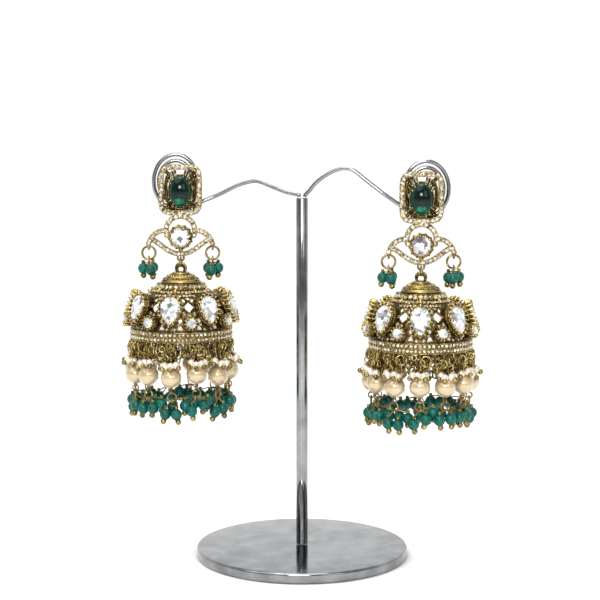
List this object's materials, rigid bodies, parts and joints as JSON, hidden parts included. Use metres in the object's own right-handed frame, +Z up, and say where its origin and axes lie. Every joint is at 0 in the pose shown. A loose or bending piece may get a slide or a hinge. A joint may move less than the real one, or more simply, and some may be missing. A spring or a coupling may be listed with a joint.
{
  "type": "pair of jhumka earrings on a wire stand",
  "caption": "Bell-shaped jhumka drop earrings with stone-set studs, pierced domes and fringes of pearls and beads, hung on the coiled arms of a wire display stand.",
  "frame": {"origin": "centre of the underside of the stand's base, on the post's axis", "axes": "+Z up along the post, the earrings' fronts facing -Y, one arm towards -X and the other towards +X"},
  "size_m": [0.1064, 0.064, 0.1218],
  "materials": {
    "chrome": "polished chrome wire and post",
    "antique_gold": "antique gold plating, dark in its recesses",
    "green_cabochon": "polished emerald-green glass dome",
    "clear_stone": "faceted clear stone",
    "pearl": "champagne imitation pearl, on antique gold wire with green glass beads",
    "green_bead": "deep teal-green glass beads"
  },
  "bodies": {
    "stand": {"stand_base": "chrome", "stand_post": "chrome", "left_arm": "chrome", "left_stud_frame": "antique_gold", "left_cabochon": "green_cabochon", "left_round_stone": "clear_stone", "left_outer_ring": "antique_gold", "left_outer_drop": "green_bead", "left_inner_ring": "antique_gold", "left_inner_drop": "green_bead", "right_arm": "chrome", "right_stud_frame": "antique_gold", "right_cabochon": "green_cabochon", "right_round_stone": "clear_stone", "right_outer_ring": "antique_gold", "right_outer_drop": "green_bead", "right_inner_ring": "antique_gold", "right_inner_drop": "green_bead"},
    "link_left": {"left_link": "antique_gold"},
    "dome_left": {"left_dome": "antique_gold", "left_strand_01": "pearl", "left_strand_02": "pearl", "left_strand_03": "pearl", "left_strand_04": "pearl", "left_strand_05": "pearl", "left_strand_06": "pearl", "left_strand_07": "pearl", "left_strand_08": "pearl", "left_strand_09": "pearl", "left_strand_10": "pearl", "left_strand_11": "pearl", "left_strand_12": "pearl"},
    "link_right": {"right_link": "antique_gold"},
    "dome_right": {"right_dome": "antique_gold", "right_strand_01": "pearl", "right_strand_02": "pearl", "right_strand_03": "pearl", "right_strand_04": "pearl", "right_strand_05": "pearl", "right_strand_06": "pearl", "right_strand_07": "pearl", "right_strand_08": "pearl", "right_strand_09": "pearl", "right_strand_10": "pearl", "right_strand_11": "pearl", "right_strand_12": "pearl"}
  },
  "joints": [
    {"name": "link_left_side_swing", "type": "hinge", "parent": "stand", "child": "link_left", "pos_m": [-0.0365, 0.0032, 0.09033], "axis": [0, 1, 0], "range_deg": [-8, 8]},
    {"name": "dome_left_front_swing", "type": "hinge", "parent": "link_left", "child": "dome_left", "pos_m": [-0.0365, 0.0032, 0.08858], "axis": [0.9903, -0.1392, 0], "range_deg": [-30, 30]},
    {"name": "link_right_side_swing", "type": "hinge", "parent": "stand", "child": "link_right", "pos_m": [0.0351, -0.0068, 0.08843], "axis": [0, 1, 0], "range_deg": [-8, 8]},
    {"name": "dome_right_front_swing", "type": "hinge", "parent": "link_right", "child": "dome_right", "pos_m": [0.0351, -0.0068, 0.08668], "axis": [0.9962, -0.0872, 0], "range_deg": [-30, 30]}
  ]
}
